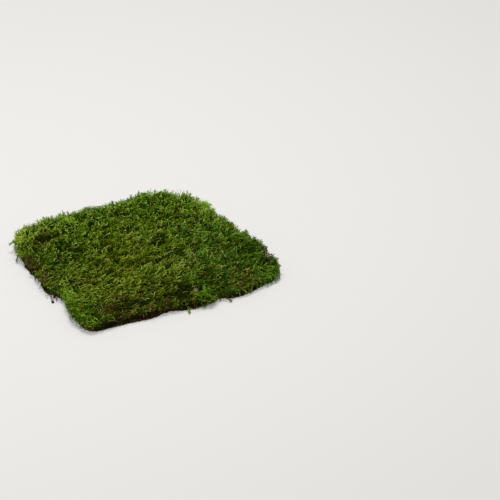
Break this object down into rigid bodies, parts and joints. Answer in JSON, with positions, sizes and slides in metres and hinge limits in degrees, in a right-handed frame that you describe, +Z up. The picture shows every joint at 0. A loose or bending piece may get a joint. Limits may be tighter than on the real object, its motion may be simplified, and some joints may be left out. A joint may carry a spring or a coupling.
{
  "type": "sheet moss mat",
  "caption": "Flat mat of living sheet moss: matted green shoots over a dark layer of old stems and humus, with a little dry litter, lying flat.",
  "frame": {"origin": "on the surface the mat lies on, under the middle of the mat's length and width", "axes": "+X along the longer side, +Y across the mat, +Z up out of the green shoots"},
  "size_m": [0.2974, 0.2808, 0.0255],
  "materials": {
    "moss_green": "matt living moss shoots",
    "humus_brown": "crumbly damp humus and dead stems",
    "straw_pale": "dry grass stalk, satin",
    "husk_pink": "papery husk"
  },
  "bodies": {
    "root": {"moss_carpet": "moss_green", "humus_layer": "humus_brown", "dry_stalk_1": "straw_pale", "dry_stalk_2": "straw_pale", "dry_stalk_3": "straw_pale", "seed_husk": "husk_pink"}
  },
  "joints": []
}
